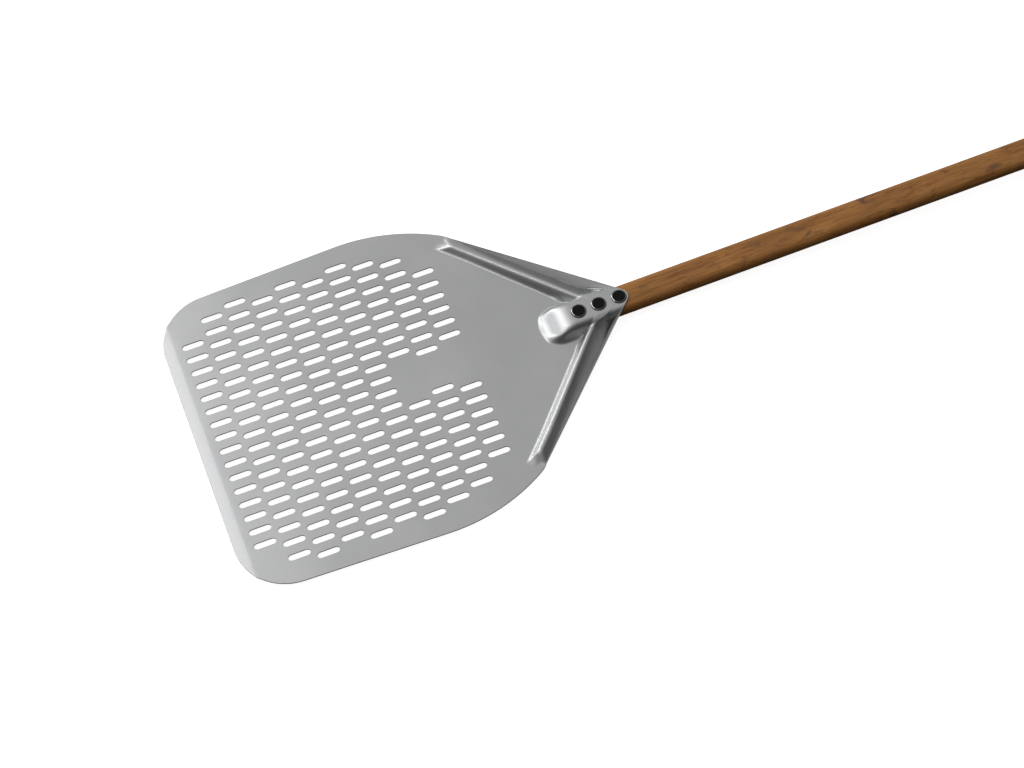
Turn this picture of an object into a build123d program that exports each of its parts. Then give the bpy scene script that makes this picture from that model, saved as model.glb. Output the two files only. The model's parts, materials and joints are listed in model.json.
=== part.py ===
"""Pizza peel: a perforated, pressed sheet blade riveted over a flat-oval handle tube.

Frame: +X runs from the blade towards the handle's end, +Z is up, and Y = 0 is the plane of symmetry.
The origin is on the blade's flat underside, at the middle of the fifth column of slots. Millimetres.
"""
import os
from math import cos, radians, sin, sqrt, tan

from build123d import *

# Blade sheet and its outline
SHEET = 1.5
FRONT_X = -130.5
FRONT_CORNER_Y = 159.2
SHOULDER_START = (109.4, 167.25)
SHOULDER_CORNER = (160.0, 137.0)
NECK_X = 273.5
TONGUE_HALF = 16.7
TONGUE_SIDE_END_X = 283.8
TONGUE_APEX_X = TONGUE_SIDE_END_X + TONGUE_HALF
OUTLINE_RADII = [52.0, 179.0, 36.0, 20.0, 6.0]
TONGUE_TIP_R = 8.0

# Thinned front edge
BEVEL_LENGTH = 11.0
EDGE_THICKNESS = 0.8

# Slots: staggered rows, each slot along X; the rows nearest the middle stop short of the neck
SLOT_LENGTH = 21.3
SLOT_WIDTH = 5.8
SLOT_PITCH = 25.5
HALF_ROW = 7.5
PLAIN_ROWS = 2
PLAIN_LAST_COLUMN = 2
FULL_COLUMNS = (-4, 5)
SHORT_ROWS = {16: (-3, 3), 17: (-2, 4), 18: (-3, 3), 19: (-2, 2)}

# Handle tube: a flat oval that rises gently towards its end
TUBE_WIDTH = 30.0
TUBE_HEIGHT = 14.0
TUBE_WALL = 1.5
TUBE_START_X = 239.0
TUBE_END_X = 898.0
HANDLE_TILT = 1.14
TUBE_CENTRE_X = 288.0
TUBE_CENTRE_Z = 6.63

# Boss that rises out of the sheet and becomes the tongue over the tube
BOSS_FRONT_X = 207.0
BOSS_TOP_X = 238.0
BOSS_FOOT = 21.0
BOSS_CORNER = 15.2
BOSS_CORNER_R = 7.0
BOSS_STEPS = 7
WRAP_START_X = 252.0
WRAP_X = 272.0
WRAP_CORNER_R = 8.4

# Ribs pressed along the shoulders: distances inward from the edge, and heights above the underside
RIB_RIM = 3.0
RIB_CREST_R = 2.5
RIB_STATIONS = [
    # along the shoulder, crest distance, crest height, inner foot distance
    (4.0, 9.5, 1.35, 13.0),
    (8.0, 10.0, 3.6, 14.0),
    (14.0, 10.8, 6.2, 14.8),
    (32.0, 11.3, 7.4, 15.2),
    (118.0, 13.9, 10.2, 18.0),
    (140.0, 14.6, 11.6, 18.8),
]

# Rivets, washers and the core inside the tube
RIVET_XS = {"front": 247.6, "middle": 267.8, "rear": 288.3}
RIVET_HEAD_R = 7.5
RIVET_HEAD_T = 1.3
RIVET_HEAD_CHAMFER = 0.45
RIVET_DIMPLE_R = 0.6
RIVET_DIMPLE_DEPTH = 0.4
RIVET_SHANK_R = 2.9
RIVET_HOLE_R = 3.0
RIVET_TAIL_R = 4.6
RIVET_TAIL_T = 1.4
RIVET_TAIL_ROUND = 0.6
WASHER_R = 7.0
WASHER_T = 1.0
CORE_LENGTH = 62.0
FIT_GAP = 0.1

# End cap with its hanging hole, and the cross pin that holds it
CAP_COLLAR = 12.0
CAP_PLUG_LENGTH = 28.0
HANGING_HOLE_R = 5.0
HANGING_HOLE_CHAMFER = 0.8
CAP_PIN_INSET = 14.0
CAP_PIN_R = 2.0
CAP_PIN_HEAD_R = 3.2
CAP_PIN_HEAD_T = 0.7
CAP_PIN_HEAD_ROUND = 0.4

TILT = radians(HANDLE_TILT)


def tube_centre_z(x):
    """Height of the tube's centre line above the blade's underside."""
    return TUBE_CENTRE_Z + (x - TUBE_CENTRE_X) * tan(TILT)


def across_tube(x, rise=0.0):
    """Plane across the tube at x: its x along Y, its y up, its z along the handle."""
    lift = Vector(-sin(TILT), 0, cos(TILT)) * rise
    return Plane(
        origin=Vector(x, 0, tube_centre_z(x)) + lift,
        x_dir=(0, 1, 0),
        z_dir=(cos(TILT), 0, sin(TILT)),
    )


def on_tube(x, rise):
    """Plane that lies along the tube at x, `rise` above its centre line, facing up from it."""
    return Plane(
        origin=across_tube(x, rise).origin,
        x_dir=(cos(TILT), 0, sin(TILT)),
        z_dir=(-sin(TILT), 0, cos(TILT)),
    )


def blade_outline():
    """Flat outline of the blade and tongue: half of it drawn, then mirrored."""
    corners = [
        (FRONT_X, 0),
        (FRONT_X, FRONT_CORNER_Y),
        SHOULDER_START,
        SHOULDER_CORNER,
        (NECK_X, TONGUE_HALF),
        (TONGUE_SIDE_END_X, TONGUE_HALF),
        (TONGUE_APEX_X, 0),
    ]
    with BuildSketch() as outline:
        with BuildLine() as edge:
            FilletPolyline(*corners, radius=OUTLINE_RADII)
            mirror(edge.line, about=Plane.XZ)
        make_face()
        fillet(outline.vertices().sort_by(Axis.X)[-1], radius=TONGUE_TIP_R)
    return outline.sketch


def slot_centres():
    """Centres of the slots: alternate rows are shifted by one column."""
    centres = []
    for row in range(-max(SHORT_ROWS), max(SHORT_ROWS) + 1):
        first, last = SHORT_ROWS.get(abs(row), FULL_COLUMNS)
        if abs(row) <= PLAIN_ROWS:
            last = PLAIN_LAST_COLUMN
        for column in range(first, last + 1):
            if (column + row) % 2:
                centres.append((column * SLOT_PITCH, row * HALF_ROW))
    return centres


def boss_section(x, top, foot, corner, corner_r, hollow):
    """Cross-section of the boss at x: flat top, rounded shoulders and walls that flare to the sheet.

    `top` is its height above the underside. The hollow one is a sheet's thickness inside the outer one.
    """
    underside = -tube_centre_z(x)
    base = underside - 2 * SHEET if hollow else underside + 0.2 * SHEET
    knee = underside + 0.6 * SHEET
    corners = [
        (-foot, base),
        (-foot, knee),
        (-corner, underside + top),
        (corner, underside + top),
        (foot, knee),
        (foot, base),
    ]
    with BuildSketch(across_tube(x)) as section:
        with BuildLine():
            FilletPolyline(*corners, radius=[0, 0, corner_r, corner_r, 0, 0], close=True)
        make_face()
        if hollow:
            offset(amount=-SHEET, kind=Kind.INTERSECTION)
    return section.sketch


def neck_top(x):
    """Height of the neck's flat top: one sheet above the tube."""
    return tube_centre_z(x) + TUBE_HEIGHT / 2 + SHEET


def nose_sections(hollow):
    """Sections of the boss's nose, from the sheet up an S-shaped ramp to the neck's flat top."""
    sections = []
    for step in range(BOSS_STEPS):
        along = step / (BOSS_STEPS - 1)
        x = BOSS_FRONT_X + 1.0 + along * (BOSS_TOP_X - BOSS_FRONT_X - 1.0)
        ramp = along * along * (3 - 2 * along)
        top = 0.9 * SHEET + ramp * (neck_top(x) - 0.9 * SHEET)
        behind = max(0.0, 1 - (x - BOSS_FRONT_X) / BOSS_FOOT)
        foot = BOSS_FOOT * sqrt(1 - behind * behind)
        corner = foot * (BOSS_CORNER / BOSS_FOOT)
        sections.append(boss_section(x, top, foot, corner, 0.6 + (BOSS_CORNER_R - 0.6) * ramp, hollow))
    return sections


def neck_sections(hollow):
    """Sections of the neck: the flared walls close in until the tongue wraps the tube's sides."""
    wide = (BOSS_FOOT, BOSS_CORNER, BOSS_CORNER_R)
    wrap = (TONGUE_HALF + 0.2, TONGUE_HALF, WRAP_CORNER_R)
    places = [(BOSS_TOP_X, wide), (WRAP_START_X, wide), (WRAP_X, wrap), (TONGUE_APEX_X + SHEET, wrap)]
    return [boss_section(x, neck_top(x), *shape, hollow) for x, shape in places]


def rib_section(side, station, hollow):
    """Cross-section of a shoulder rib, in a plane square to the shoulder's straight edge."""
    along, crest, height, foot = station
    start = Vector(SHOULDER_CORNER[0], side * SHOULDER_CORNER[1])
    end = Vector(NECK_X, side * TONGUE_HALF)
    edge = (end - start).normalized()
    inward = Vector(-abs(edge.Y), -side * edge.X)
    across = Plane(origin=start + edge * along, x_dir=inward, z_dir=edge * -side)
    base = -2 * SHEET if hollow else 0.2 * SHEET
    corners = [(RIB_RIM, base), (RIB_RIM, 0.7 * SHEET), (crest, height), (foot, 0.7 * SHEET), (foot, base)]
    crest_r = min(RIB_CREST_R, 0.3 * height)
    with BuildSketch(across) as section:
        with BuildLine():
            FilletPolyline(*corners, radius=[0, 0, crest_r, 0, 0], close=True)
        make_face()
        if hollow:
            offset(amount=-SHEET, kind=Kind.INTERSECTION)
    return section.sketch


os.makedirs("parts", exist_ok=True)
HEAD_SEAT = TUBE_HEIGHT / 2 + SHEET
WASHER_SEAT = -TUBE_HEIGHT / 2
TAIL_SEAT = WASHER_SEAT - WASHER_T
TUBE_LENGTH = (TUBE_END_X - TUBE_START_X) / cos(TILT)
CAP_CENTRE_X = TUBE_END_X + CAP_COLLAR * cos(TILT)
CAP_PIN_X = TUBE_END_X - CAP_PIN_INSET

# Blade
with BuildPart() as blade:
    add(blade_outline())
    extrude(amount=SHEET)
    loft(sections=nose_sections(hollow=False))
    loft(sections=neck_sections(hollow=False), ruled=True)
    for side in (1, -1):
        loft(sections=[rib_section(side, station, hollow=False) for station in RIB_STATIONS], ruled=True)
    add(blade_outline())
    extrude(amount=3 * TUBE_HEIGHT, mode=Mode.INTERSECT)
    loft(sections=nose_sections(hollow=True)[1:], mode=Mode.SUBTRACT)
    loft(sections=neck_sections(hollow=True), ruled=True, mode=Mode.SUBTRACT)
    for side in (1, -1):
        hollow_rib = [rib_section(side, station, hollow=True) for station in RIB_STATIONS[2:]]
        loft(sections=hollow_rib, ruled=True, mode=Mode.SUBTRACT)
    with BuildSketch():
        with Locations(*slot_centres()):
            SlotOverall(SLOT_LENGTH, SLOT_WIDTH)
    extrude(amount=SHEET, mode=Mode.SUBTRACT)
    with BuildSketch(Plane.XZ):
        with BuildLine():
            Polyline(
                (FRONT_X - 1, EDGE_THICKNESS - (SHEET - EDGE_THICKNESS) / BEVEL_LENGTH),
                (FRONT_X + BEVEL_LENGTH, SHEET),
                (FRONT_X - 1, SHEET),
                close=True,
            )
        make_face()
    extrude(amount=FRONT_CORNER_Y, both=True, mode=Mode.SUBTRACT)
    for rivet_x in RIVET_XS.values():
        with BuildSketch(on_tube(rivet_x, 0)):
            Circle(RIVET_HOLE_R)
        extrude(amount=2 * TUBE_HEIGHT, mode=Mode.SUBTRACT)
blade.part.label = "blade"
export_step(blade.part, "parts/blade.step")

# Handle tube
with BuildPart() as handle_tube:
    with BuildSketch(across_tube(TUBE_START_X)):
        SlotOverall(TUBE_WIDTH, TUBE_HEIGHT)
        SlotOverall(TUBE_WIDTH - 2 * TUBE_WALL, TUBE_HEIGHT - 2 * TUBE_WALL, mode=Mode.SUBTRACT)
    extrude(amount=TUBE_LENGTH)
    for rivet_x in RIVET_XS.values():
        with BuildSketch(on_tube(rivet_x, 0)):
            Circle(RIVET_HOLE_R)
        extrude(amount=TUBE_HEIGHT, both=True, mode=Mode.SUBTRACT)
    with BuildSketch(on_tube(CAP_PIN_X, 0)):
        Circle(CAP_PIN_R)
    extrude(amount=TUBE_HEIGHT, both=True, mode=Mode.SUBTRACT)
handle_tube.part.label = "handle_tube"
export_step(handle_tube.part, "parts/handle_tube.step")

# Core inside the front of the tube, which the rivets pass through
with BuildPart() as tube_core:
    with BuildSketch(across_tube(TUBE_START_X)):
        SlotOverall(TUBE_WIDTH - 2 * (TUBE_WALL + FIT_GAP), TUBE_HEIGHT - 2 * (TUBE_WALL + FIT_GAP))
    extrude(amount=CORE_LENGTH)
    for rivet_x in RIVET_XS.values():
        with BuildSketch(on_tube(rivet_x, 0)):
            Circle(RIVET_HOLE_R)
        extrude(amount=TUBE_HEIGHT, both=True, mode=Mode.SUBTRACT)
tube_core.part.label = "tube_core"
export_step(tube_core.part, "parts/tube_core.step")

# Rivets: a wide flat head on the tongue, and a set tail below the washer
for place, rivet_x in RIVET_XS.items():
    with BuildPart() as rivet:
        with BuildSketch(on_tube(rivet_x, HEAD_SEAT)):
            Circle(RIVET_HEAD_R)
        extrude(amount=RIVET_HEAD_T)
        chamfer(rivet.edges().group_by(Axis.Z)[-1], length=RIVET_HEAD_CHAMFER)
        with BuildSketch(on_tube(rivet_x, HEAD_SEAT + RIVET_HEAD_T)):
            Circle(RIVET_DIMPLE_R)
        extrude(amount=-RIVET_DIMPLE_DEPTH, mode=Mode.SUBTRACT)
        with BuildSketch(on_tube(rivet_x, TAIL_SEAT)):
            Circle(RIVET_SHANK_R)
        extrude(amount=HEAD_SEAT - TAIL_SEAT)
        with BuildSketch(on_tube(rivet_x, TAIL_SEAT)):
            Circle(RIVET_TAIL_R)
        extrude(amount=-RIVET_TAIL_T)
        fillet(rivet.edges().group_by(Axis.Z)[0], radius=RIVET_TAIL_ROUND)
    rivet.part.label = f"rivet_{place}"
    export_step(rivet.part, f"parts/rivet_{place}.step")

# Washers between the tube's underside and the rivets' tails
for place, rivet_x in RIVET_XS.items():
    with BuildPart() as washer:
        with BuildSketch(on_tube(rivet_x, WASHER_SEAT)):
            Circle(WASHER_R)
            Circle(RIVET_HOLE_R, mode=Mode.SUBTRACT)
        extrude(amount=-WASHER_T)
    washer.part.label = f"washer_{place}"
    export_step(washer.part, f"parts/washer_{place}.step")

# End cap: a plug inside the tube, and a rounded end as thick as the tube with the hanging hole
with BuildPart() as end_cap:
    with BuildSketch(across_tube(TUBE_END_X)):
        SlotOverall(TUBE_WIDTH - 2 * (TUBE_WALL + FIT_GAP), TUBE_HEIGHT - 2 * (TUBE_WALL + FIT_GAP))
    extrude(amount=-CAP_PLUG_LENGTH)
    with BuildSketch(across_tube(TUBE_END_X)):
        SlotOverall(TUBE_WIDTH, TUBE_HEIGHT)
    extrude(amount=CAP_COLLAR)
    with BuildSketch(across_tube(CAP_CENTRE_X)) as cap_half:
        SlotOverall(TUBE_WIDTH, TUBE_HEIGHT)
        split(bisect_by=Plane.YZ, keep=Keep.TOP)
    cap_plane = across_tube(CAP_CENTRE_X)
    revolve(axis=Axis(cap_plane.origin, -cap_plane.y_dir), revolution_arc=180)
    with BuildSketch(on_tube(CAP_CENTRE_X, 0)):
        Circle(HANGING_HOLE_R)
    extrude(amount=TUBE_HEIGHT, both=True, mode=Mode.SUBTRACT)
    hole_rims = end_cap.edges().filter_by(GeomType.CIRCLE)
    hole_rims = hole_rims.filter_by(lambda edge: abs(edge.radius - HANGING_HOLE_R) < FIT_GAP)
    chamfer(hole_rims, length=HANGING_HOLE_CHAMFER)
    with BuildSketch(on_tube(CAP_PIN_X, 0)):
        Circle(CAP_PIN_R)
    extrude(amount=TUBE_HEIGHT, both=True, mode=Mode.SUBTRACT)
end_cap.part.label = "end_cap"
export_step(end_cap.part, "parts/end_cap.step")

# Cross pin through the tube and the cap's plug, with a low head on each face of the tube
with BuildPart() as cap_pin:
    with BuildSketch(on_tube(CAP_PIN_X, 0)):
        Circle(CAP_PIN_R)
    extrude(amount=TUBE_HEIGHT / 2, both=True)
    for face_side in (1, -1):
        with BuildSketch(on_tube(CAP_PIN_X, face_side * TUBE_HEIGHT / 2)):
            Circle(CAP_PIN_HEAD_R)
        extrude(amount=face_side * CAP_PIN_HEAD_T)
    outer_rims = cap_pin.edges().group_by(Axis.Z)
    fillet(outer_rims[0] + outer_rims[-1], radius=CAP_PIN_HEAD_ROUND)
cap_pin.part.label = "cap_pin"
export_step(cap_pin.part, "parts/cap_pin.step")
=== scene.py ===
"""Pizza peel: the visual model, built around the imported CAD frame.

Shapes are worked out in millimetres in the frame's axes and turned into metres when a mesh is made.
The blade is one pressed sheet: a height field over its plan outline, with every slot cut through it.
"""
import json
import math

import bmesh
import bpy
import numpy as np
from mathutils import Matrix, Vector
from mathutils.geometry import delaunay_2d_cdt


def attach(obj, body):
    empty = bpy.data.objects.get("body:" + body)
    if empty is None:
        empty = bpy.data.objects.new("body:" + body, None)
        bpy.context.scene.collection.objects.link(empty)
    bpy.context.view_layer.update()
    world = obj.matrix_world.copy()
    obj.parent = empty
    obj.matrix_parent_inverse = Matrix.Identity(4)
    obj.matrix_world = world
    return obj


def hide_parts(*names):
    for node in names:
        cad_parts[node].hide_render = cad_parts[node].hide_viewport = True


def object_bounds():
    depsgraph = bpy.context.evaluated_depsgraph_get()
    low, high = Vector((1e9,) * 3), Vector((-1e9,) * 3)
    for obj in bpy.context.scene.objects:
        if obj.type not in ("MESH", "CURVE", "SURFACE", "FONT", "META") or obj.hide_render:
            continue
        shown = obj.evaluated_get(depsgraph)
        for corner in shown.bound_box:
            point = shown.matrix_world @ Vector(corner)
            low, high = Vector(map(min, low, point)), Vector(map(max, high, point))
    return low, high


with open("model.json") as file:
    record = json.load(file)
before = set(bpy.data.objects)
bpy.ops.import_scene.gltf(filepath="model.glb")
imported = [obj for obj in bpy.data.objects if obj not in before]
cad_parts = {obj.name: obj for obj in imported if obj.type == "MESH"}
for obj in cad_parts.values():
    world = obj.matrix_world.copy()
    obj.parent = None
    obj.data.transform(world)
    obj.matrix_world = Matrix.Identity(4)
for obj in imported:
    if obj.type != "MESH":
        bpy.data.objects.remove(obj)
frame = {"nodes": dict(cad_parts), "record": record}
cad_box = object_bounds()

MM = 0.001

# Blade sheet and its slots, as in the CAD; the outline's corners are close to the CAD's
SHEET = 1.5
FRONT_X = -130.5
BEVEL_LENGTH = 11.0
EDGE_THICKNESS = 0.8
EDGE_ROUND = 0.25
SHOULDER_CORNER = np.array([160.0, 137.0])
SHOULDER_END = np.array([258.0, 33.1])
OUTLINE_CORNERS = [
    # x, y, radius of the corner
    (FRONT_X, 0.0, 0.0),
    (FRONT_X, 159.2, 52.0),
    (109.4, 167.25, 179.0),
    (*SHOULDER_CORNER, 36.0),
    (*SHOULDER_END, 30.0),
    (268.0, 18.2, 9.0),
    (276.8, 16.85, 6.0),
    (288.6, 11.9, 20.0),
    (300.4, 0.0, 8.0),
]
CREASE_POINTS = 61
CREASE_HALF = 0.15
LATTICE_END_X = 276.0
SLOT_LENGTH = 21.3
SLOT_WIDTH = 5.8
SLOT_PITCH = 25.5
HALF_ROW = 7.5
PLAIN_ROWS = 2
PLAIN_LAST_COLUMN = 2
FULL_COLUMNS = (-4, 5)
SHORT_ROWS = {16: (-3, 3), 17: (-2, 4), 18: (-3, 3), 19: (-2, 2)}

# Handle tube, as in the CAD: its tilt and centre line come from the hanging hole's mount
TUBE_WIDTH = 30.0
TUBE_HEIGHT = 14.0
TUBE_WALL = 1.5
TUBE_START_X = 239.0
TUBE_END_X = 898.0
hanging_hole = next(m for m in frame["record"]["mounts"] if m["name"] == "hanging_hole")
TILT = math.atan2(-hanging_hole["axis"][0], hanging_hole["axis"][2])
HOLE_X = hanging_hole["pos_m"][0] / MM
HOLE_Z = hanging_hole["pos_m"][2] / MM

# Boss and neck pressed over the tube
RAMP_FOOT_X = 211.5
RAMP_SLOPE = 0.577
NOSE_CENTRE_X = 228.0
RAMP_BLEND = 5.0
FLAT_HALF = 8.3
WRAP_R = 8.4
WRAP_STEEPEST_X = (250, 270)
WRAP_STEEPEST_DEG = (64, 80)

# Ribs pressed along the shoulders: t runs along the edge, s inwards from it
RIB_START = 3.5
RIB_END_SLOPE = 0.6
RIB_END_BLEND = 2.0
RIB_RIM = -0.3  # where the outer flank would meet the sheet; below zero is beyond the edge
RIB_T = (32, 118)
RIB_OUTER_SLOPE = (0.64, 0.745)
RIB_INNER_SLOPE = (1.5, 1.9)
RIB_CREST_BLEND = (8.5, 10.5)
RIB_FOOT_T = (32, 118, 150)
RIB_FOOT_S = (15.7, 19.0, 20.6)
NEAR_NECK_T = 150
NEAR_NECK_STEEPENING = 0.0078

# Where ribs, boss and sheet join
RIB_BELOW_TOP = 1.5
RIB_TOP_BLEND = 3.0
RIB_BOSS_BLEND = 2.5
EDGE_FOOT_BLEND = 0.4
INNER_FOOT_BLEND = 2.6
BOSS_SIDE_BLEND = 3.0

# The shoulder's edge is drawn down
RIM_DROP = 1.2
RIM_DROP_WIDTH = 16


def tube_centre_z(x):
    """Height of the tube's centre line above the blade's underside."""
    return HOLE_Z + (x - HOLE_X) * math.tan(TILT)


def tube_place(x, rise=0.0):
    """Matrix from tube axes (along, across, up from the centre line), in metres, to the frame."""
    lift = Vector((-math.sin(TILT), 0.0, math.cos(TILT))) * rise
    centre = (Vector((x, 0.0, tube_centre_z(x))) + lift) * MM
    return Matrix.Translation(centre) @ Matrix.Rotation(-TILT, 4, "Y")


# ---------------------------------------------------------------- smooth joins of heights


def step(value, low, high):
    """0 below low, 1 above high, and an S-curve between them."""
    u = np.clip((value - low) / (high - low), 0, 1)
    return u * u * (3 - 2 * u)


def lower_of(a, b, blend):
    """The lower of two heights, rounded where they cross."""
    near = np.maximum(blend - np.abs(a - b), 0) / blend
    return np.minimum(a, b) - near * near * blend / 4


def higher_of(a, b, blend):
    """The higher of two heights, rounded where they cross."""
    return -lower_of(-a, -b, blend)


# ---------------------------------------------------------------- the pressed blade


def shoulder_axes(x, y):
    """Distances along the shoulder's edge and inwards from it."""
    edge = SHOULDER_END - SHOULDER_CORNER
    edge = edge / np.linalg.norm(edge)
    dx = x - SHOULDER_CORNER[0]
    dy = y - SHOULDER_CORNER[1]
    return dx * edge[0] + dy * edge[1], dx * edge[1] - dy * edge[0]


def rib_height(x, y):
    """Rib along the shoulder: an outer and an inner flank, and a rounded front end."""
    t, s = shoulder_axes(x, y)
    near_neck = np.maximum(t - NEAR_NECK_T, 0)
    outer = np.interp(t, RIB_T, RIB_OUTER_SLOPE) + NEAR_NECK_STEEPENING * near_neck * near_neck
    inner = np.interp(t, RIB_T, RIB_INNER_SLOPE)
    foot = np.interp(t, RIB_FOOT_T, RIB_FOOT_S)
    crest = np.interp(t, RIB_T, RIB_CREST_BLEND)
    rib = lower_of(outer * (s - RIB_RIM), inner * (foot - s), crest)
    return lower_of(rib, RIB_END_SLOPE * (t - RIB_START), RIB_END_BLEND)


def boss_height(x, y):
    """Boss and neck: a ramp up from the sheet, a flat top on the tube, and sides that wrap it."""
    top = tube_centre_z(x) + TUBE_HEIGHT / 2
    aside = np.maximum(np.hypot(np.maximum(NOSE_CENTRE_X - x, 0), y) - FLAT_HALF, 0)
    steepest = np.radians(np.interp(x, WRAP_STEEPEST_X, WRAP_STEEPEST_DEG))
    on_wrap = np.minimum(aside, WRAP_R * np.sin(steepest))
    drop = WRAP_R - np.sqrt(WRAP_R * WRAP_R - on_wrap * on_wrap) + (aside - on_wrap) * np.tan(steepest)
    ramp = RAMP_SLOPE * (x - RAMP_FOOT_X)
    return lower_of(ramp, top - drop, RAMP_BLEND), top


def rim_drop(x, y):
    """The shoulder's outer edge is drawn down a little towards the neck."""
    t, s = shoulder_axes(x, y)
    return -RIM_DROP * step(t, 10, 140) * step(-s, -RIM_DROP_WIDTH, 0) * step(y, 16.5, 32)


def rise(x, y):
    """Height of the pressed sheet's top over the flat sheet's top."""
    y = np.abs(y)
    _, s = shoulder_axes(x, y)
    boss, top = boss_height(x, y)
    rib = lower_of(rib_height(x, y), top - RIB_BELOW_TOP, RIB_TOP_BLEND)
    pressed = higher_of(rib, boss, RIB_BOSS_BLEND)
    beside_boss = step(x, 200, 215) * step(-x, -246, -236) * step(y, 6, 15) * step(-y, -34, -26)
    foot = EDGE_FOOT_BLEND + INNER_FOOT_BLEND * step(s, 5, 11) + step(-x, -236, -226)
    foot += BOSS_SIDE_BLEND * beside_boss
    return higher_of(pressed, 0.0, foot) + rim_drop(x, y)


def bevel(x):
    """How far the front edge's bevel cuts into the sheet's top."""
    into = (FRONT_X + BEVEL_LENGTH - x) * (SHEET - EDGE_THICKNESS) / BEVEL_LENGTH
    return higher_of(into, 0.0, 0.02)


def top_height(x, y):
    """Height of the blade's top surface."""
    return SHEET + rise(x, y) - bevel(x)


def top_normals(x, y):
    """Unit normals of the blade's top surface."""
    h = 0.02
    slope_x = (top_height(x + h, y) - top_height(x - h, y)) / (2 * h)
    slope_y = (top_height(x, y + h) - top_height(x, y - h)) / (2 * h)
    normals = np.column_stack([-slope_x, -slope_y, np.ones_like(slope_x)])
    return normals / np.linalg.norm(normals, axis=1)[:, None]


def outline_spacing(x):
    """Distance between neighbouring points of the outline."""
    return float(np.interp(x, [120, 150, 255, 268], [4.0, 1.2, 1.0, 0.5]))


def rounded_path(corners):
    """Points along a path of straight runs whose corners are rounded."""
    runs = []
    for before, corner, after in zip(corners, corners[1:], corners[2:]):
        p = np.array(corner[:2])
        u = np.array(before[:2]) - p
        v = np.array(after[:2]) - p
        u /= np.linalg.norm(u)
        v /= np.linalg.norm(v)
        half = math.acos(np.clip(u @ v, -1, 1)) / 2
        centre = p + (u + v) / np.linalg.norm(u + v) * corner[2] / math.sin(half)
        first = p + u * corner[2] / math.tan(half)
        sweep = math.pi - 2 * half
        start = math.atan2(*(first - centre)[::-1])
        turn = -1 if u[0] * v[1] - u[1] * v[0] > 0 else 1
        count = max(3, round(sweep * corner[2] / outline_spacing(p[0])))
        angles = start + turn * np.linspace(0, sweep, count + 1)
        runs.append(centre + corner[2] * np.column_stack([np.cos(angles), np.sin(angles)]))
    path = [np.array(corners[0][:2])]
    for run in runs:
        last = path[-1]
        gap = np.linalg.norm(run[0] - last)
        count = max(1, round(gap / outline_spacing((run[0] + last)[0] / 2)))
        path.extend(last + (run[0] - last) * k / count for k in range(1, count))
        path.extend(run)
    return np.array(path)


def blade_outline():
    """Closed plan outline of the blade, anticlockwise, without a repeated point."""
    tip = OUTLINE_CORNERS[-1]
    before_tip = OUTLINE_CORNERS[-2]
    mirrored = (before_tip[0], -before_tip[1], 0.0)
    half = rounded_path([*OUTLINE_CORNERS, mirrored])
    half = half[half[:, 1] > -1e-6]
    half = half[(half[:, 1] > 1e-6) | (half[:, 0] < tip[0] - tip[2])]
    lower = half[::-1] * [1, -1]
    tip_x = tip[0] - tip[2] * (1 / math.sin(math.atan2(before_tip[1], tip[0] - before_tip[0])) - 1)
    upper = half[1:] if abs(half[0, 1]) < 1e-6 else half
    lower = lower[:-1] if abs(lower[-1, 1]) < 1e-6 else lower
    closed = np.vstack([half[:1], upper, [[tip_x, 0.0]], lower])
    return closed[::-1]


def slot_loop(centre):
    """Points round one slot, anticlockwise."""
    run = (SLOT_LENGTH - SLOT_WIDTH) / 2
    radius = SLOT_WIDTH / 2
    ends = np.linspace(-math.pi / 2, math.pi / 2, 11)
    right = np.column_stack([run + radius * np.cos(ends), radius * np.sin(ends)])
    sides = np.array([[run / 3, radius], [-run / 3, radius]])
    return np.vstack([right, sides, -right, -sides]) + centre


def slot_centres():
    """Centres of the slots: alternate rows are shifted by one column."""
    centres = []
    for row in range(-max(SHORT_ROWS), max(SHORT_ROWS) + 1):
        first, last = SHORT_ROWS.get(abs(row), FULL_COLUMNS)
        if abs(row) <= PLAIN_ROWS:
            last = PLAIN_LAST_COLUMN
        for column in range(first, last + 1):
            if (column + row) % 2:
                centres.append((column * SLOT_PITCH, row * HALF_ROW))
    return np.array(centres)


def outward(loop, solid_inside):
    """Unit plan normals of a closed anticlockwise loop that point out of the sheet."""
    along = np.roll(loop, -1, axis=0) - np.roll(loop, 1, axis=0)
    normals = np.column_stack([along[:, 1], -along[:, 0]])
    normals /= np.linalg.norm(normals, axis=1)[:, None]
    return normals if solid_inside else -normals


def slot_distance(points, centres):
    """Distance of each point from the nearest slot's edge, negative inside a slot."""
    run = (SLOT_LENGTH - SLOT_WIDTH) / 2
    best = np.full(len(points), 1e9)
    for centre in centres:
        off = np.abs(points - centre)
        off[:, 0] = np.maximum(off[:, 0] - run, 0)
        best = np.minimum(best, np.hypot(off[:, 0], off[:, 1]) - SLOT_WIDTH / 2)
    return best


def loop_distance(points, loop):
    """Distance of each point from the nearest point of a loop."""
    best = np.full(len(points), 1e9)
    for start in range(0, len(loop), 50):
        part = loop[start : start + 50]
        gaps = np.hypot(points[:, None, 0] - part[:, 0], points[:, None, 1] - part[:, 1])
        best = np.minimum(best, gaps.min(1))
    return best


def inside(points, loop):
    """Whether each point lies inside a closed loop."""
    result = np.zeros(len(points), bool)
    for a, b in zip(loop, np.roll(loop, -1, axis=0)):
        crosses = (a[1] > points[:, 1]) != (b[1] > points[:, 1])
        at = (b[0] - a[0]) * (points[:, 1] - a[1]) / (b[1] - a[1] + 1e-30) + a[0]
        result ^= crosses & (points[:, 0] < at)
    return result


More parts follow.
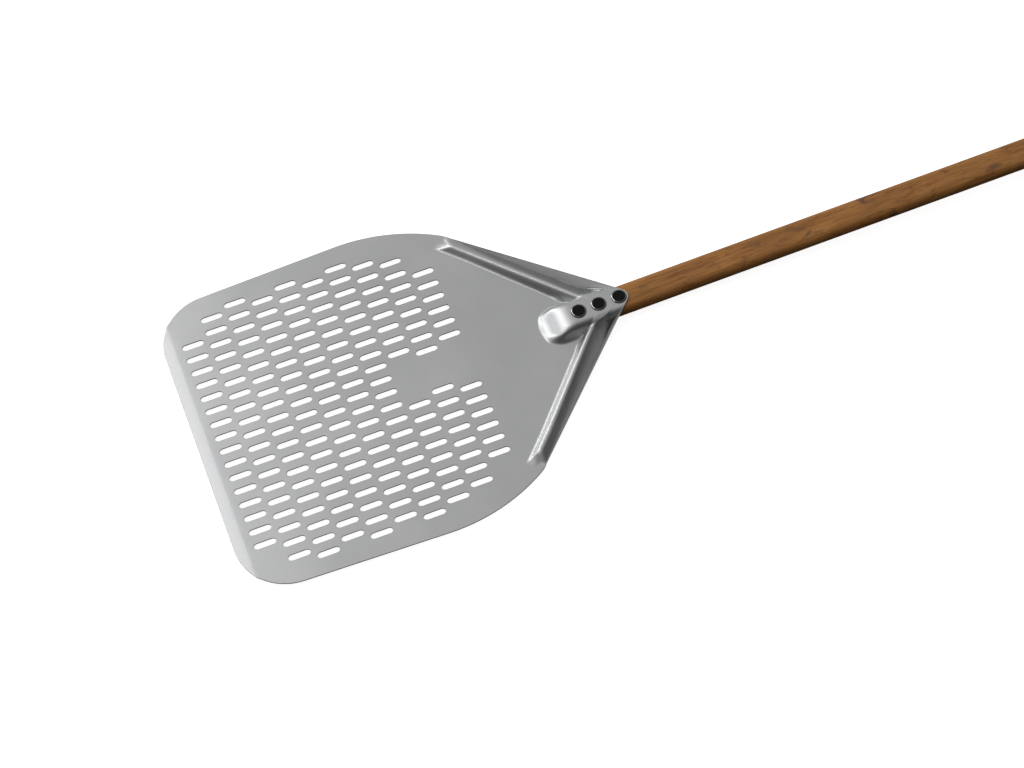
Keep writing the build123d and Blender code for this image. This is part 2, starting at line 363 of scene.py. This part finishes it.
def lattice(x_range, y_range, spacing):
    """Staggered rows of points over half the blade, mirrored to the other half."""
    rows = []
    for number, y in enumerate(np.arange(y_range[0], y_range[1], spacing * math.sqrt(0.75))):
        x = np.arange(x_range[0] + (number % 2) * spacing / 2, x_range[1], spacing)
        rows.append(np.column_stack([x, np.full_like(x, y)]))
        if y > 0:
            rows.append(np.column_stack([x, np.full_like(x, -y)]))
    return np.vstack(rows)


def wrap_lattice():
    """Rows along the neck, closer together where the sheet curves down round the tube."""
    on_flat = np.linspace(0, FLAT_HALF, 9)[:-1]
    on_arc = FLAT_HALF + WRAP_R * np.sin(np.radians(np.arange(0, 78, 5)))
    on_side = np.arange(on_arc[-1] + 0.12, 18.2, 0.14)
    rows = []
    for number, y in enumerate([*on_flat, *on_arc, *on_side]):
        x = np.arange(246.0 + (number % 2) * 0.4, 298.0, 0.8)
        rows.extend(np.column_stack([x, np.full_like(x, sign * y)]) for sign in ([1, -1] if y else [1]))
    return np.vstack(rows)


def inner_points(outline, centres):
    """Points that carry the pressed shape: fine where the sheet is pressed, wide apart elsewhere."""
    zones = []

    def near_rib(p):
        t, s = shoulder_axes(p[:, 0], np.abs(p[:, 1]))
        return (t > -6) & (s < 27)

    zones.append((wrap_lattice(), 0.8, lambda p: (p[:, 0] > 245.5) & (np.abs(p[:, 1]) < 18.4)))
    flank = lattice((255.0, LATTICE_END_X), (15.0, 36.0), 0.4)
    zones.append((flank, 0.4, lambda p: (p[:, 0] > 255) & (p[:, 0] < LATTICE_END_X) & (np.abs(p[:, 1]) < 36)))
    boss = lattice((202.0, LATTICE_END_X), (0.0, 37.0), 0.6)
    zones.append((boss, 0.6, lambda p: (p[:, 0] > 202) & (np.abs(p[:, 1]) < 37)))
    rib = lattice((135.0, LATTICE_END_X), (0.0, 150.0), 1.0)
    zones.append((rib[near_rib(rib)], 1.0, near_rib))
    plain = lattice((FRONT_X + 2, LATTICE_END_X), (0.0, 168.0), 6.0)
    zones.append((plain, 3.0, lambda p: np.zeros(len(p), bool)))
    kept = []
    taken = []
    for points, spacing, covers in zones:
        free = np.ones(len(points), bool)
        for other in taken:
            free &= ~other(points)
        points = points[free]
        points = points[inside(points, outline)]
        steep = np.clip(top_normals(points[:, 0], points[:, 1])[:, 2], 0.25, 1)
        points = points[loop_distance(points, outline) > 0.5 * spacing * steep + 0.05]
        points = points[slot_distance(points, centres) > 0.5 * spacing]
        points = points[np.abs(points[:, 0] - FRONT_X - BEVEL_LENGTH) > 1.5]
        kept.append(points)
        taken.append(covers)
    return np.vstack(kept)


def new_mesh(name, vertices, faces, corner_normals=None):
    """Mesh from vertices in millimetres, with a normal for each face corner where given."""
    mesh = bpy.data.meshes.new(name)
    mesh.from_pydata((np.asarray(vertices) * MM).tolist(), [], [list(f) for f in faces])
    mesh.polygons.foreach_set("use_smooth", [True] * len(mesh.polygons))
    mesh.update()
    if corner_normals is not None:
        mesh.normals_split_custom_set(corner_normals)
    mesh.update()
    return mesh


def blade_mesh():
    """The blade: top and bottom skins from one triangulation, joined round every edge."""
    outline = blade_outline()
    centres = slot_centres()
    loops = [(outline, True)] + [(slot_loop(c), False) for c in centres]
    edge_xy = np.vstack([loop for loop, _ in loops])
    edge_out = np.vstack([outward(loop, solid) for loop, solid in loops])
    edge_normals = top_normals(edge_xy[:, 0], edge_xy[:, 1])
    edge_out3 = np.column_stack([edge_out, np.zeros(len(edge_out))])
    edge_out3 -= (edge_out3 * edge_normals).sum(1)[:, None] * edge_normals
    edge_out3 /= np.linalg.norm(edge_out3, axis=1)[:, None]
    slope_along = np.clip(np.hypot(edge_out3[:, 0], edge_out3[:, 1]), 0.15, 1)
    inset_xy = edge_xy - edge_out * (EDGE_ROUND * slope_along)[:, None]

    crease = []
    for x in (FRONT_X + BEVEL_LENGTH - CREASE_HALF, FRONT_X + BEVEL_LENGTH + CREASE_HALF):
        near = np.abs(inset_xy[: len(outline), 0] - x)
        half_width = np.abs(inset_xy[: len(outline), 1])[near < 4.5].max()
        y = np.linspace(-half_width + 3.0, half_width - 3.0, CREASE_POINTS)
        crease.append(np.column_stack([np.full_like(y, x), y]))
    inner = np.vstack([inner_points(outline, centres), *crease])

    edges = []
    first = 0
    for loop, _ in loops:
        count = len(loop)
        edges.extend((first + k, first + (k + 1) % count) for k in range(count))
        first += count
    ring_total = first
    plan = np.vstack([inset_xy, inner])
    for start in (len(plan) - 2 * CREASE_POINTS, len(plan) - CREASE_POINTS):
        edges.extend((start + k, start + k + 1) for k in range(CREASE_POINTS - 1))
    flat, _, faces, sources, _, _ = delaunay_2d_cdt([Vector(p) for p in plan], edges, [], 1, 1e-6, True)
    flat = np.array([tuple(v) for v in flat])
    place = {source: new for new, group in enumerate(sources) for source in group}
    ring = np.array([place[k] for k in range(ring_total)])
    faces = np.array([f for f in faces if len(set(f)) == 3])
    # This drops what fills the slots, but not slivers round them or triangles outside the outline where it is
    # hollow, between shoulder and neck: these are an open fault.
    middle = flat[faces].mean(1)
    faces = faces[slot_distance(middle, centres) > 0]
    a, b, c = flat[faces[:, 0]], flat[faces[:, 1]], flat[faces[:, 2]]
    area = (b[:, 0] - a[:, 0]) * (c[:, 1] - a[:, 1]) - (b[:, 1] - a[:, 1]) * (c[:, 0] - a[:, 0])
    faces = np.where((area > 0)[:, None], faces, faces[:, ::-1])[np.abs(area) > 1e-7]

    normals = top_normals(flat[:, 0], flat[:, 1])
    top = np.column_stack([flat, top_height(flat[:, 0], flat[:, 1])])
    bottom = top - normals * (SHEET - bevel(flat[:, 0]))[:, None]
    edge_top = np.column_stack([edge_xy, top_height(edge_xy[:, 0], edge_xy[:, 1])])
    thickness = (SHEET - bevel(edge_xy[:, 0]))[:, None]
    rounding = np.minimum(EDGE_ROUND, 0.3 * thickness)
    upper_ring = edge_top - edge_normals * rounding
    lower_ring = edge_top - edge_normals * (thickness - rounding)

    count = len(flat)
    upper = 2 * count + np.arange(ring_total)
    lower = upper + ring_total
    vertices = np.vstack([top, bottom, upper_ring, lower_ring])
    vertex_normals = np.vstack([normals, -normals, edge_out3, edge_out3])
    all_faces = [tuple(f) for f in faces] + [tuple(f[::-1] + count) for f in faces]
    first = 0
    for loop, solid in loops:
        size = len(loop)
        for k in range(size):
            i, j = first + k, first + (k + 1) % size
            bands = [
                (ring[i], upper[i], upper[j], ring[j]),
                (upper[i], lower[i], lower[j], upper[j]),
                (lower[i], ring[i] + count, ring[j] + count, lower[j]),
            ]
            all_faces.extend(band if solid else band[::-1] for band in bands)
        first += size
    corner_normals = vertex_normals[np.concatenate([np.array(f) for f in all_faces])]
    return new_mesh("blade_sheet", vertices, all_faces, corner_normals.tolist())


# ---------------------------------------------------------------- small pieces


def soften(mesh, angle=32.0):
    """Shades a mesh smooth, with sharp edges where faces meet at more than an angle."""
    bm = bmesh.new()
    bm.from_mesh(mesh)
    bmesh.ops.remove_doubles(bm, verts=bm.verts, dist=1e-7)
    bmesh.ops.recalc_face_normals(bm, faces=bm.faces)
    for face in bm.faces:
        face.smooth = True
    for edge in bm.edges:
        edge.smooth = len(edge.link_faces) == 2 and edge.calc_face_angle() < math.radians(angle)
    bm.to_mesh(mesh)
    bm.free()
    mesh.update()


def add_piece(name, mesh, material, slot, *nodes):
    """Puts a mesh in the scene as a piece that stands for CAD nodes."""
    mesh.materials.append(material)
    piece = bpy.data.objects.new(name, mesh)
    bpy.context.scene.collection.objects.link(piece)
    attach(piece, "root")
    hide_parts(*nodes)
    return piece


def lathe(name, profile, segments=96):
    """Solid of revolution about Z from (radius, height) points; it closes on the axis or on itself."""
    angles = np.linspace(0, 2 * math.pi, segments, endpoint=False)
    vertices, rings = [], []
    for radius, height in profile:
        if radius < 1e-6:
            rings.append([len(vertices)] * segments)
            vertices.append((0.0, 0.0, height))
        else:
            rings.append(list(range(len(vertices), len(vertices) + segments)))
            vertices.extend((radius * math.cos(a), radius * math.sin(a), height) for a in angles)
    closed = profile[0][0] > 1e-6
    pairs = list(zip(rings, rings[1:] + rings[:1])) if closed else list(zip(rings, rings[1:]))
    faces = []
    for low, high in pairs:
        for k in range(segments):
            corners = [low[k], low[(k + 1) % segments], high[(k + 1) % segments], high[k]]
            unique = list(dict.fromkeys(corners))
            if len(unique) > 2:
                faces.append(unique)
    mesh = new_mesh(name, vertices, faces)
    soften(mesh)
    return mesh


def arc(centre, radius, start, end, steps):
    """(radius, height) points along an arc, from start to end in degrees."""
    angles = np.radians(np.linspace(start, end, steps + 1))
    return [(centre[0] + radius * math.cos(a), centre[1] + radius * math.sin(a)) for a in angles]


def flat_oval(width, height, steps=24):
    """Points round a flat oval across the tube: (across, up), anticlockwise."""
    radius = height / 2
    run = width / 2 - radius
    angles = np.linspace(-math.pi / 2, math.pi / 2, steps + 1)
    right = [(run + radius * math.cos(a), radius * math.sin(a)) for a in angles]
    return right + [(-across, -up) for across, up in right]


# ---------------------------------------------------------------- materials


class Nodes:
    """A material and short ways to add nodes to it."""

    def __init__(self, name):
        self.material = bpy.data.materials.new(name)
        self.material.use_nodes = True
        self.tree = self.material.node_tree
        self.shader = self.tree.nodes["Principled BSDF"]

    def add(self, kind, **values):
        """Adds a node; values are its sockets by name, or its own settings in lower case."""
        node = self.tree.nodes.new(kind)
        for name, value in values.items():
            if hasattr(node, name):
                setattr(node, name, value)
            else:
                node.inputs[name.replace("_", " ").title()].default_value = value
        return node

    def link(self, output, target):
        self.tree.links.new(output, target)

    def set(self, **values):
        """Sets the shader's own sockets."""
        for name, value in values.items():
            self.shader.inputs[name.replace("_", " ").title().replace("Ior", "IOR")].default_value = value

    def coordinates(self, scale):
        """Object coordinates, in metres, stretched by a scale for each axis."""
        source = self.add("ShaderNodeTexCoord")
        mapping = self.add("ShaderNodeMapping")
        mapping.inputs["Scale"].default_value = scale
        self.link(source.outputs["Object"], mapping.inputs["Vector"])
        return mapping.outputs["Vector"]

    def noise(self, scale, stretch=(1, 1, 1), detail=3.0, distortion=0.0):
        """Noise over stretched object coordinates: features about 1 / scale metres across."""
        node = self.add("ShaderNodeTexNoise", scale=scale, detail=detail, distortion=distortion)
        self.link(self.coordinates(stretch), node.inputs["Vector"])
        return node.outputs["Fac"]

    def ramp(self, source, stops):
        """Colour ramp: stops are (position, colour)."""
        node = self.add("ShaderNodeValToRGB")
        elements = node.color_ramp.elements
        while len(elements) < len(stops):
            elements.new(0.5)
        for element, (position, colour) in zip(elements, stops):
            element.position = position
            element.color = (*colour, 1.0)
        self.link(source, node.inputs["Fac"])
        return node.outputs["Color"]

    def spread(self, source, low, high):
        """Maps noise, which stays near the middle, to a range."""
        node = self.add("ShaderNodeMapRange")
        node.inputs["From Min"].default_value = 0.3
        node.inputs["From Max"].default_value = 0.7
        node.inputs["To Min"].default_value = low
        node.inputs["To Max"].default_value = high
        self.link(source, node.inputs["Value"])
        return node.outputs["Result"]

    def mix(self, kind, factor, a, b):
        """Mixes two colours; the factor is a number or a socket."""
        node = self.add("ShaderNodeMix")
        node.data_type = "RGBA"
        node.blend_type = kind
        if isinstance(factor, (int, float)):
            node.inputs[0].default_value = factor
        else:
            self.link(factor, node.inputs[0])
        for socket, value in ((node.inputs[6], a), (node.inputs[7], b)):
            if isinstance(value, tuple):
                socket.default_value = (*value, 1.0)
            else:
                self.link(value, socket)
        return node.outputs[2]

    def bump(self, height, depth, strength=1.0, under=None):
        """Bump of a depth in metres, over another bump where given."""
        node = self.add("ShaderNodeBump")
        node.inputs["Strength"].default_value = strength
        node.inputs["Distance"].default_value = depth
        self.link(height, node.inputs["Height"])
        if under is not None:
            self.link(under, node.inputs["Normal"])
        return node.outputs["Normal"]

    def finish(self, colour=None, roughness=None, normal=None):
        """Links what varies over the surface to the shader."""
        for name, socket in (("Base Color", colour), ("Roughness", roughness), ("Normal", normal)):
            if socket is not None:
                self.link(socket, self.shader.inputs[name])
        return self.material


def satin_aluminium():
    """Pressed aluminium sheet with a fine satin grain and faint cloudiness."""
    m = Nodes("satin_aluminium")
    m.set(metallic=1.0)
    grain = m.noise(2600.0, detail=2.0)
    clouds = m.noise(14.0, detail=3.0)
    tint = m.ramp(clouds, [(0.3, (0.60, 0.605, 0.612)), (0.7, (0.645, 0.648, 0.652))])
    speckle = m.ramp(grain, [(0.25, (0.955, 0.955, 0.955)), (0.75, (1.0, 1.0, 1.0))])
    colour = m.mix("MULTIPLY", 1.0, tint, speckle)
    roughness = m.spread(clouds, 0.37, 0.43)
    return m.finish(colour, roughness, m.bump(grain, 0.00002, 0.35))


def wood_grain():
    """Brown wood-grain finish on the tube: long grain, slanting dark lines and dark figure spots."""
    m = Nodes("wood_grain_finish")
    m.set(specular_ior_level=0.35)
    broad = m.noise(34.0, (0.5, 1.6, 1.6), detail=4.0, distortion=0.6)
    browns = [(0.28, (0.50, 0.215, 0.059)), (0.5, (0.59, 0.255, 0.066)), (0.72, (0.69, 0.315, 0.084))]
    base = m.ramp(broad, browns)
    fibres = m.noise(420.0, (0.07, 1.0, 1.0), detail=5.0, distortion=0.4)
    fibre_tone = m.ramp(fibres, [(0.32, (0.70, 0.66, 0.62)), (0.55, (1.0, 1.0, 1.0))])
    colour = m.mix("MULTIPLY", 0.85, base, fibre_tone)
    lines = m.noise(95.0, (0.16, 1.0, 1.0), detail=3.0, distortion=1.6)
    line_mask = m.ramp(lines, [(0.455, (0, 0, 0)), (0.485, (1, 1, 1)), (0.515, (0, 0, 0))])
    colour = m.mix("MULTIPLY", line_mask, colour, (0.70, 0.64, 0.60))
    spots = m.noise(62.0, (0.7, 1.3, 1.3), detail=2.0, distortion=0.3)
    spot_mask = m.ramp(spots, [(0.58, (0, 0, 0)), (0.72, (1, 1, 1))])
    colour = m.mix("MIX", spot_mask, colour, (0.25, 0.112, 0.055))
    roughness = m.spread(fibres, 0.56, 0.44)
    return m.finish(colour, roughness, m.bump(fibres, 0.00006, 0.4))


def gloss_black():
    """Black rivet finish with faint handling marks, polished brighter round the rim of the head."""
    m = Nodes("gloss_black")
    m.set(ior=2.0)
    rim = m.add("ShaderNodeAttribute", attribute_name="rim")
    polish = m.add("ShaderNodeMapRange")
    polish.inputs["To Min"].default_value = 0.06
    polish.inputs["To Max"].default_value = 1.0
    m.link(rim.outputs["Fac"], polish.inputs["Value"])
    m.link(polish.outputs["Result"], m.shader.inputs["Specular IOR Level"])
    marks = m.noise(900.0, detail=4.0)
    colour = m.ramp(marks, [(0.3, (0.003, 0.0035, 0.004)), (0.7, (0.006, 0.0065, 0.007))])
    return m.finish(colour, m.spread(marks, 0.08, 0.14), m.bump(marks, 0.00002, 0.06))


def zinc_steel():
    """Bright plated washers with turning marks."""
    m = Nodes("zinc_steel")
    m.set(metallic=1.0)
    turning = m.noise(1500.0, (1.0, 1.0, 0.1), detail=3.0)
    colour = m.ramp(turning, [(0.3, (0.50, 0.50, 0.49)), (0.7, (0.62, 0.62, 0.60))])
    return m.finish(colour, m.spread(turning, 0.26, 0.42), m.bump(turning, 0.00004, 0.4))


def moulded_plastic(name, dark, light):
    """Moulded plastic with a fine spark-eroded texture."""
    m = Nodes(name)
    m.set(ior=1.48)
    texture = m.noise(2200.0, detail=2.0)
    patches = m.noise(60.0, detail=3.0)
    colour = m.ramp(patches, [(0.3, dark), (0.7, light)])
    return m.finish(colour, m.spread(patches, 0.42, 0.52), m.bump(texture, 0.00008, 0.5))


ALUMINIUM = satin_aluminium()
WOOD = wood_grain()
BLACK = gloss_black()
ZINC = zinc_steel()
CORE = moulded_plastic("core_plastic", (0.050, 0.050, 0.052), (0.075, 0.075, 0.077))
CAP = moulded_plastic("cap_plastic", (0.014, 0.014, 0.015), (0.022, 0.022, 0.023))

# ---------------------------------------------------------------- pieces

add_piece("blade_pressed_sheet", blade_mesh(), ALUMINIUM, "blade_sheet", "blade")


def tube_mesh():
    """Hollow flat-oval tube with rounded ends on its wall."""
    length = (TUBE_END_X - TUBE_START_X) / math.cos(TILT)
    soft = 0.3
    inner_w = TUBE_WIDTH - 2 * TUBE_WALL
    inner_h = TUBE_HEIGHT - 2 * TUBE_WALL
    stations = [
        (soft, TUBE_WIDTH, TUBE_HEIGHT),
        *[(at, TUBE_WIDTH, TUBE_HEIGHT) for at in np.linspace(0, length, 14)[1:-1]],
        (length - soft, TUBE_WIDTH, TUBE_HEIGHT),
        (length, TUBE_WIDTH - 2 * soft, TUBE_HEIGHT - 2 * soft),
        (length, inner_w + 2 * soft, inner_h + 2 * soft),
        (length - soft, inner_w, inner_h),
        (soft, inner_w, inner_h),
        (0.0, inner_w + 2 * soft, inner_h + 2 * soft),
        (0.0, TUBE_WIDTH - 2 * soft, TUBE_HEIGHT - 2 * soft),
    ]
    vertices, faces = [], []
    for at, width, height in stations:
        vertices.extend((at, across, up) for across, up in flat_oval(width, height))
    count = len(vertices) // len(stations)
    for k in range(len(stations)):
        low, high = k * count, (k + 1) % len(stations) * count
        faces.extend((low + i, low + (i + 1) % count, high + (i + 1) % count, high + i) for i in range(count))
    mesh = new_mesh("handle_tube", vertices, faces)
    mesh.transform(tube_place(TUBE_START_X))
    soften(mesh)
    return mesh


add_piece("handle_tube_wood_grain", tube_mesh(), WOOD, "handle_wood_grain", "handle_tube")

RIVET_XS = {"front": 247.6, "middle": 267.8, "rear": 288.3}
HEAD_R = 7.5
HEAD_T = 1.3
HEAD_FLAT_R = 6.0
HEAD_BEVEL_R = 7.0
HEAD_BEVEL_DROP = 0.45
DIMPLE_R = 0.6
SHANK_R = 2.9
TAIL_R = 4.6
TAIL_T = 1.4
TAIL_EDGE_R = 0.6
WASHER_R = 7.0
WASHER_HOLE_R = 3.0
WASHER_T = 1.0
HEAD_SEAT = TUBE_HEIGHT / 2 + SHEET
TAIL_SEAT = -TUBE_HEIGHT / 2 - WASHER_T


def rivet_mesh(name):
    """Rivet with a flat head, a bevelled rim with a rounded edge, a small centre mark and a set tail."""
    face = HEAD_SEAT + HEAD_T
    edge_r = HEAD_R - HEAD_BEVEL_R
    head = [
        (0.0, HEAD_SEAT + HEAD_T - 0.3),
        (0.35, HEAD_SEAT + HEAD_T - 0.22),
        (DIMPLE_R, HEAD_SEAT + HEAD_T),
        (1.0, face),
        (HEAD_FLAT_R - 0.2, face),
        (HEAD_FLAT_R, face),
        (HEAD_FLAT_R + 0.25, face - 0.06),
        (HEAD_BEVEL_R, face - HEAD_BEVEL_DROP),
    ]
    for a in np.radians(np.arange(15, 91, 15)):
        height = face - HEAD_BEVEL_DROP - 0.2 * math.sin(a) - edge_r * (1 - math.cos(a))
        head.append((HEAD_BEVEL_R + edge_r * math.sin(a), height))
    tail = arc((TAIL_R - TAIL_EDGE_R, TAIL_SEAT - TAIL_T + TAIL_EDGE_R), TAIL_EDGE_R, 0, -90, 6)
    profile = [
        *head,
        (HEAD_R, HEAD_SEAT),
        (SHANK_R, HEAD_SEAT),
        (SHANK_R, TAIL_SEAT),
        (TAIL_R, TAIL_SEAT),
        *tail,
        (0.0, TAIL_SEAT - TAIL_T),
    ]
    mesh = lathe(name, profile)
    rim = mesh.attributes.new("rim", "FLOAT", "POINT")
    for vertex, value in zip(mesh.vertices, rim.data):
        radius = vertex.co.xy.length / MM
        value.value = float(radius > HEAD_FLAT_R + 0.1 and vertex.co.z > HEAD_SEAT * MM)
    return mesh


def washer_mesh(name):
    """Flat washer with eased edges."""
    ease = 0.15
    top = -TUBE_HEIGHT / 2
    bottom = TAIL_SEAT
    profile = [
        (WASHER_HOLE_R, bottom + ease),
        (WASHER_HOLE_R + ease, bottom),
        (WASHER_R - ease, bottom),
        (WASHER_R, bottom + ease),
        (WASHER_R, top - ease),
        (WASHER_R - ease, top),
        (WASHER_HOLE_R + ease, top),
        (WASHER_HOLE_R, top - ease),
    ]
    return lathe(name, profile)


for place, rivet_x in RIVET_XS.items():
    rivet = rivet_mesh(f"rivet_{place}")
    rivet.transform(tube_place(rivet_x))
    add_piece(f"rivet_{place}_gloss", rivet, BLACK, "black_rivet", f"rivet_{place}")
    washer = washer_mesh(f"washer_{place}")
    washer.transform(tube_place(rivet_x))
    add_piece(f"washer_{place}_eased", washer, ZINC, "washer_steel", f"washer_{place}")

for node, material in (("tube_core", CORE), ("end_cap", CAP), ("cap_pin", ZINC)):
    cad_node = frame["nodes"][node]
    cad_node.data.materials.clear()
    cad_node.data.materials.append(material)

# ---------------------------------------------------------------- floor, light and camera

AZIMUTH = 14.81
ELEVATION = 60.33
ROLL = 6.64
DISTANCE = 2.3527
TARGET = Vector((0.1637, -0.0422, 0.00075))
LENS = 88.675


def add_floor():
    """Pale floor just under the object."""
    mesh = bpy.data.meshes.new("floor")
    half = 6.0
    low = cad_box[0].z - 0.0002
    corners = [(-half, -half, low), (half, -half, low), (half, half, low), (-half, half, low)]
    mesh.from_pydata(corners, [], [(0, 1, 2, 3)])
    m = Nodes("pale_floor")
    m.set(base_color=(0.85, 0.85, 0.85, 1), roughness=0.9, emission_color=(1, 1, 1, 1), emission_strength=0.9)
    mesh.materials.append(m.material)
    floor = bpy.data.objects.new("floor", mesh)
    bpy.context.scene.collection.objects.link(floor)
    floor.visible_glossy = False
    floor.visible_diffuse = False


def add_softbox(name, start, end, width, power):
    """Long soft light whose middle line runs from start to end, turned towards the object."""
    start, end = Vector(start), Vector(end)
    middle = (start + end) / 2
    length_axis = (end - start).normalized()
    away = (middle - middle.dot(length_axis) * length_axis).normalized()
    light = bpy.data.lights.new(name, "AREA")
    light.shape = "RECTANGLE"
    light.size = (end - start).length
    light.size_y = width
    light.energy = power
    lamp = bpy.data.objects.new(name, light)
    turn = Matrix((length_axis, away.cross(length_axis), away)).transposed()
    lamp.matrix_world = Matrix.Translation(middle) @ turn.to_4x4()
    bpy.context.scene.collection.objects.link(lamp)


def add_surroundings():
    """Studio surroundings: pale above and behind, dark to the right and in front."""
    world = bpy.data.worlds.new("studio")
    world.use_nodes = True
    tree = world.node_tree
    source = tree.nodes.new("ShaderNodeTexCoord")
    towards = tree.nodes.new("ShaderNodeVectorMath")
    towards.operation = "DOT_PRODUCT"
    towards.inputs[1].default_value = Vector((-0.2, 0.8, 0.57)).normalized()
    tone = tree.nodes.new("ShaderNodeMapRange")
    tone.interpolation_type = "SMOOTHSTEP"
    tone.inputs["From Min"].default_value = -0.1
    tone.inputs["From Max"].default_value = 0.75
    tone.inputs["To Min"].default_value = 0.045
    tone.inputs["To Max"].default_value = 0.50
    tree.links.new(source.outputs["Generated"], towards.inputs[0])
    tree.links.new(towards.outputs["Value"], tone.inputs["Value"])
    tree.links.new(tone.outputs["Result"], tree.nodes["Background"].inputs["Strength"])
    tree.nodes["Background"].inputs["Color"].default_value = (1, 1, 1, 1)
    bpy.context.scene.world = world


def add_camera():
    """Camera on the object from in front, above, and turned a little about its own axis."""
    azimuth, elevation, roll = math.radians(AZIMUTH), math.radians(ELEVATION), math.radians(ROLL)
    back = Vector((
        -math.sin(azimuth) * math.cos(elevation),
        -math.cos(azimuth) * math.cos(elevation),
        math.sin(elevation),
    ))
    camera = bpy.data.objects.new("camera", bpy.data.cameras.new("camera"))
    bpy.context.scene.collection.objects.link(camera)
    camera.data.lens = LENS
    camera.data.sensor_width = 36.0
    camera.data.clip_start = 0.05
    camera.data.clip_end = 50.0
    level = (-back).to_track_quat("-Z", "Y").to_matrix()
    turn = level @ Matrix.Rotation(-roll, 3, "Z")
    camera.matrix_world = Matrix.Translation(TARGET + back * DISTANCE) @ turn.to_4x4()
    bpy.context.scene.camera = camera


add_floor()
add_softbox("long_softbox", (-0.50, 1.9, 0.3), (-0.62, 0.25, 1.75), 0.40, 4.6)
add_softbox("strip_light", (-0.50, 1.85, 0.3), (-0.62, 0.25, 1.70), 0.05, 3.6)
add_surroundings()
add_camera()
bpy.context.scene.view_settings.view_transform = "Standard"
